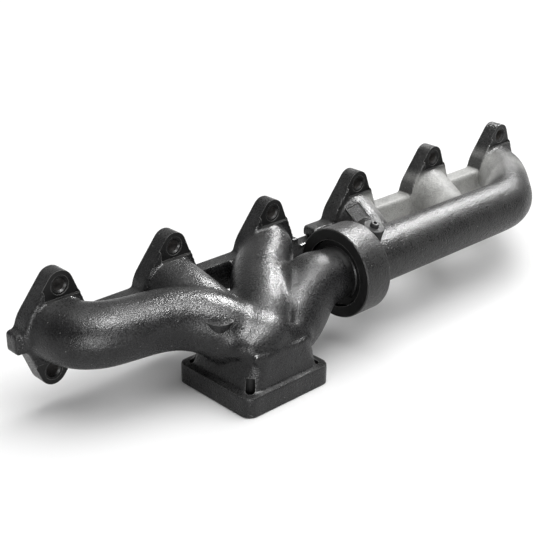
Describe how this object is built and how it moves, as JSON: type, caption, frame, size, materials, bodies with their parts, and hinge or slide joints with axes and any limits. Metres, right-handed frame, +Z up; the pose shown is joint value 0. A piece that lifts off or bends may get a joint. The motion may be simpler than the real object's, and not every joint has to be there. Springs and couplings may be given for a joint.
{
  "type": "exhaust manifold",
  "caption": "Cast-iron exhaust manifold for an in-line engine, in two sections joined by a ring-sealed slip joint, with port flanges, a side log and a divided turbo flange.",
  "frame": {"origin": "centre of the turbo flange's gasket face, on the wall between its two openings", "axes": "+X along the engine from cylinder 1 to cylinder 6, parallel to the log; +Y at the cylinder head, normal to the port faces; +Z up, away from the turbo flange"},
  "size_m": [0.671, 0.1425, 0.124],
  "materials": {
    "front_iron": "oiled sand-cast, semi-gloss",
    "rear_iron": "oiled sand-cast, rougher",
    "ring_steel": "turned, dark",
    "plug_steel": "black oxide"
  },
  "bodies": {
    "front_section": {"front_casting": "front_iron"},
    "seal_rings": {"seal_ring_1": "ring_steel", "seal_ring_2": "ring_steel", "seal_ring_3": "ring_steel"},
    "rear_section": {"rear_casting": "rear_iron", "probe_port_plug": "plug_steel"}
  },
  "joints": [
    {"name": "slip_joint_swivel", "type": "hinge", "parent": "front_section", "child": "seal_rings", "pos_m": [0.111, 0, 0.0735], "axis": [1, 0, 0], "range_deg": [0, 343.9]},
    {"name": "expansion_slide", "type": "slide", "parent": "seal_rings", "child": "rear_section", "axis": [1, 0, 0], "range_m": [-0.0045, 0.0045]}
  ]
}
